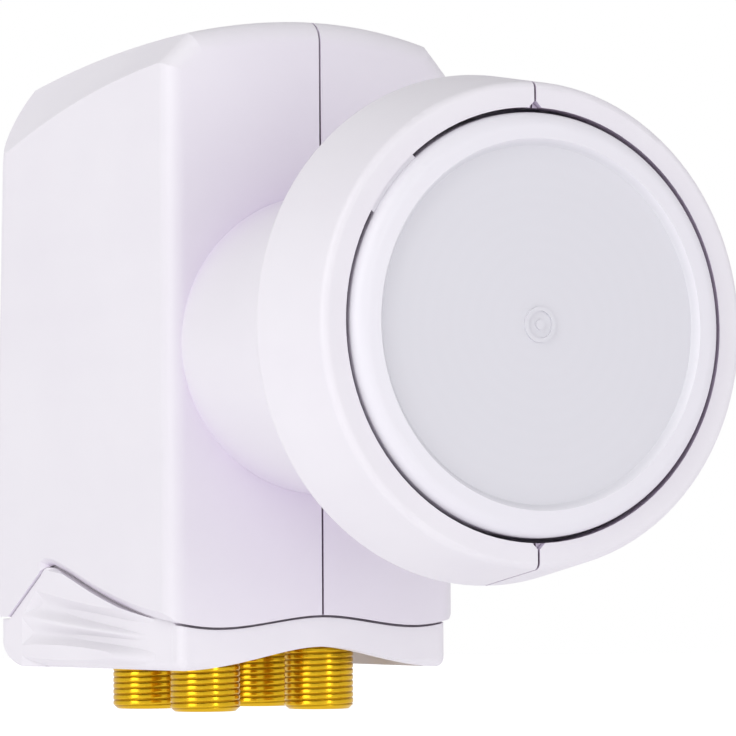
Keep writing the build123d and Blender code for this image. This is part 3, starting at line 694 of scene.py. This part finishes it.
class LNB_OT_inner_parts(Operator):
    """Finish the seals, castings, board and its parts inside the housing"""

    bl_idname = "lnb.inner_parts"
    bl_label = "Inner parts"

    def execute(self, context):
        self.rubber()
        self.cast_metal()
        self.sheet_metal("screw_zinc", (0.55, 0.56, 0.58), 0.32, "pcb_screws", "plate_screws")
        self.sheet_metal("tinned_can", (0.62, 0.62, 0.60), 0.28, "partition_shield", "crystal")
        brass = ["vertical_probe", "horizontal_probe"]
        brass += [f"centre_contact_{number}" for number in range(1, SOCKETS + 1)]
        self.sheet_metal("contact_brass_wire", (0.62, 0.40, 0.12), 0.25, *brass)
        self.board()
        self.chips()
        self.insulators()
        return {"FINISHED"}

    @staticmethod
    def rubber():
        material, finish = new_finish("black_seal_rubber")
        place = finish.place()
        bloom = finish.noise(place, size=0.003, detail=4.0)
        pores = finish.noise(place, size=0.00025, detail=2.0)
        finish.surface(
            base_color=finish.mix(bloom, (0.012, 0.012, 0.013), (0.035, 0.034, 0.036)),
            roughness=0.62 + (bloom - 0.5) * 0.2,
            normal=finish.bump(pores, distance=0.00003, strength=0.5),
        )
        dress(material, "feed_cap_o_ring", "plate_gasket")

    @staticmethod
    def cast_metal():
        material, finish = new_finish("die_cast_aluminium")
        place = finish.place()
        flow = finish.noise(place, size=0.008, detail=4.0)
        pits = finish.noise(place, size=0.0004, detail=3.0, roughness=0.7)
        finish.surface(
            base_color=finish.mix(flow, (0.47, 0.48, 0.49), (0.58, 0.585, 0.59)),
            metallic=1.0,
            roughness=0.42 + (flow - 0.5) * 0.2 + (pits - 0.5) * 0.15,
            normal=finish.bump(pits, distance=0.00003, strength=0.6),
        )
        dress(material, "feedhorn_casting", "connector_plate")

    @staticmethod
    def sheet_metal(name, colour, roughness, *nodes):
        material, finish = new_finish(name)
        place = finish.place()
        stain = finish.noise(place, size=0.004, detail=3.0)
        rolling = finish.noise(finish.stretched(place, (1.0, 0.08, 1.0)), size=0.0003, detail=2.0)
        finish.surface(
            base_color=finish.mix(stain, colour, [0.8 * c for c in colour]),
            metallic=1.0,
            roughness=roughness + (stain - 0.5) * 0.15,
            normal=finish.bump(rolling, distance=0.000008, strength=0.5),
        )
        dress(material, *nodes)

    @staticmethod
    def board():
        material, finish = new_finish("board_solder_mask")
        place = finish.place()
        weave = finish.node(
            "ShaderNodeTexWave",
            {"wave_type": "BANDS"},
            {"Vector": place, "Scale": 900.0, "Distortion": 0.6},
            "Fac",
        )
        cloud = finish.noise(place, size=0.006, detail=3.0)
        finish.surface(
            base_color=finish.mix(cloud, (0.012, 0.09, 0.03), (0.02, 0.13, 0.05)),
            roughness=0.3 + (cloud - 0.5) * 0.12,
            normal=finish.bump(weave * 0.6 + cloud * 0.4, distance=0.00001, strength=0.4),
        )
        dress(material, "main_pcb")

    @staticmethod
    def chips():
        material, finish = new_finish("chip_moulding")
        place = finish.place()
        speckle = finish.noise(place, size=0.00015, detail=3.0)
        finish.surface(
            base_color=finish.mix(speckle, (0.012, 0.012, 0.013), (0.03, 0.03, 0.032)),
            roughness=0.55 + (speckle - 0.5) * 0.2,
            normal=finish.bump(speckle, distance=0.00001, strength=0.5),
        )
        dress(material, "converter_chip", "switch_chip", "voltage_regulator")

    @staticmethod
    def insulators():
        material, finish = new_finish("socket_polyethylene")
        place = finish.place()
        cloud = finish.noise(place, size=0.003, detail=3.0)
        grain = finish.noise(place, size=0.0003, detail=2.0)
        finish.surface(
            base_color=finish.mix(cloud, (0.78, 0.77, 0.72), (0.70, 0.69, 0.63)),
            roughness=0.45 + (cloud - 0.5) * 0.15,
            normal=finish.bump(grain, distance=0.00001, strength=0.5),
        )
        dress(material, *[f"connector_insulator_{number}" for number in range(1, SOCKETS + 1)])


class LNB_OT_stage(Operator):
    """Set up the floor, the light and the camera"""

    bl_idname = "lnb.stage"
    bl_label = "Studio"

    def execute(self, context):
        settings = context.scene.lnb_stage
        self.floor(settings)
        self.sky(context.scene, settings)
        for name, (place, size) in LAMPS.items():
            self.lamp(f"{name}_lamp", place, size, getattr(settings, f"{name}_power"))
        self.camera(context.scene, settings)
        context.scene.view_settings.view_transform = "Standard"
        return {"FINISHED"}

    @staticmethod
    def floor(settings):
        """A round pale floor that looks white and keeps the object's shadow."""
        turns = [2 * math.pi * step / FLOOR_POINTS for step in range(FLOOR_POINTS)]
        radius, height = settings.floor_radius, settings.floor_height
        rim = [(radius * math.cos(turn), radius * math.sin(turn), height) for turn in turns]
        mesh = bpy.data.meshes.new("floor")
        mesh.from_pydata(rim, [], [list(range(FLOOR_POINTS))])
        floor = bpy.data.objects.new("floor", mesh)
        bpy.context.scene.collection.objects.link(floor)
        material, finish = new_finish("pale_floor")
        place = finish.place()
        cloud = finish.noise(place, size=0.3, detail=2.0)
        clouded = [0.98 * c for c in settings.floor_colour]
        finish.surface(
            base_color=finish.mix(cloud, settings.floor_colour, clouded),
            roughness=0.8,
            emission_color=finish.mix(seen_directly(finish), settings.floor_glow, settings.floor_lift),
            emission_strength=1.0,
        )
        mesh.materials.append(material)

    @staticmethod
    def sky(scene, settings):
        """Soft light from all sides, white where it is seen."""
        world = bpy.data.worlds.new("studio_sky")
        world.use_nodes = True
        finish = Finish(world.node_tree)
        seen = seen_directly(finish)
        heading = finish.node("ShaderNodeTexCoord", output="Generated")
        height = finish.node("ShaderNodeSeparateXYZ", None, {0: heading}, "Z")
        dimmed = [(1 - settings.sky_fall) * c for c in settings.sky_colour]
        colour = finish.mix(height, settings.sky_colour, dimmed)
        soft = finish.node(
            "ShaderNodeBackground", None, {"Color": colour, "Strength": settings.sky_strength}
        )
        white = finish.node("ShaderNodeBackground", None, {"Color": (1, 1, 1, 1), "Strength": 1.0})
        mixed = finish.node("ShaderNodeMixShader", None, {0: seen, 1: soft, 2: white})
        end = world.node_tree.nodes.new("ShaderNodeOutputWorld")
        world.node_tree.links.new(mixed.socket, end.inputs["Surface"])
        scene.world = world

    @staticmethod
    def lamp(name, place, size, power):
        """A soft lamp that points at the object."""
        light = bpy.data.lights.new(name, "AREA")
        light.shape = "RECTANGLE"
        light.size, light.size_y = size
        light.energy = power
        lamp = bpy.data.objects.new(name, light)
        lamp.location = place
        towards = Vector(LAMP_TARGET) - Vector(place)
        lamp.rotation_euler = towards.to_track_quat("-Z", "Y").to_euler()
        bpy.context.scene.collection.objects.link(lamp)

    @staticmethod
    def camera(scene, settings):
        """A long lens at the angle of the photograph."""
        turn, rise, roll = settings.camera_turn, settings.camera_rise, settings.camera_roll
        back = Vector(
            (math.sin(turn) * math.cos(rise), -math.cos(turn) * math.cos(rise), math.sin(rise))
        )
        level = Vector((math.cos(turn), math.sin(turn), 0))
        upright = back.cross(level)
        right = level * math.cos(roll) + upright * math.sin(roll)
        up = upright * math.cos(roll) - level * math.sin(roll)
        lens = bpy.data.cameras.new("photo_camera")
        lens.lens = settings.camera_lens
        lens.sensor_width = 36
        lens.clip_start = 0.01
        camera = bpy.data.objects.new("photo_camera", lens)
        turned = Matrix((right, up, back)).transposed().to_4x4()
        camera.matrix_world = Matrix.Translation(settings.camera_place) @ turned
        scene.collection.objects.link(camera)
        scene.camera = camera


def seen_directly(finish):
    """1 for the camera and for what clear surfaces show, and 0 for plain light."""
    camera = finish.node("ShaderNodeLightPath", output="Is Camera Ray")
    through = finish.node("ShaderNodeLightPath", output="Is Transmission Ray")
    either = {"operation": "ADD", "use_clamp": True}
    return finish.node("ShaderNodeMath", either, {0: camera, 1: through})


class LNB_PT_looks(Panel):
    """Operators and sizes of the LNB's looks"""

    bl_idname = "LNB_PT_looks"
    bl_label = "Satellite LNB"
    bl_space_type = "VIEW_3D"
    bl_region_type = "UI"
    bl_category = "LNB"

    def draw(self, context):
        for operator in OPERATORS:
            self.layout.operator(operator.bl_idname)
        for group in (context.scene.lnb_finish, context.scene.lnb_sockets, context.scene.lnb_stage):
            box = self.layout.box()
            for name in group.bl_rna.properties.keys():
                if name not in ("rna_type", "name"):
                    box.prop(group, name)


OPERATORS = (
    LNB_OT_housing,
    LNB_OT_weather_shield,
    LNB_OT_feed_cap,
    LNB_OT_threaded_sockets,
    LNB_OT_inner_parts,
    LNB_OT_stage,
)
GROUPS = {
    "lnb_finish": FinishSettings,
    "lnb_sockets": SocketSettings,
    "lnb_stage": StageSettings,
}


def register():
    for group in GROUPS.values():
        bpy.utils.register_class(group)
    for name, group in GROUPS.items():
        setattr(bpy.types.Scene, name, PointerProperty(type=group))
    for operator in OPERATORS:
        bpy.utils.register_class(operator)
    bpy.utils.register_class(LNB_PT_looks)


def unregister():
    bpy.utils.unregister_class(LNB_PT_looks)
    for operator in reversed(OPERATORS):
        bpy.utils.unregister_class(operator)
    for name in GROUPS:
        delattr(bpy.types.Scene, name)
    for group in reversed(GROUPS.values()):
        bpy.utils.unregister_class(group)


def main():
    register()
    for operator in OPERATORS:
        group, name = operator.bl_idname.split(".")
        getattr(getattr(bpy.ops, group), name)()


if __name__ == "__main__":
    main()
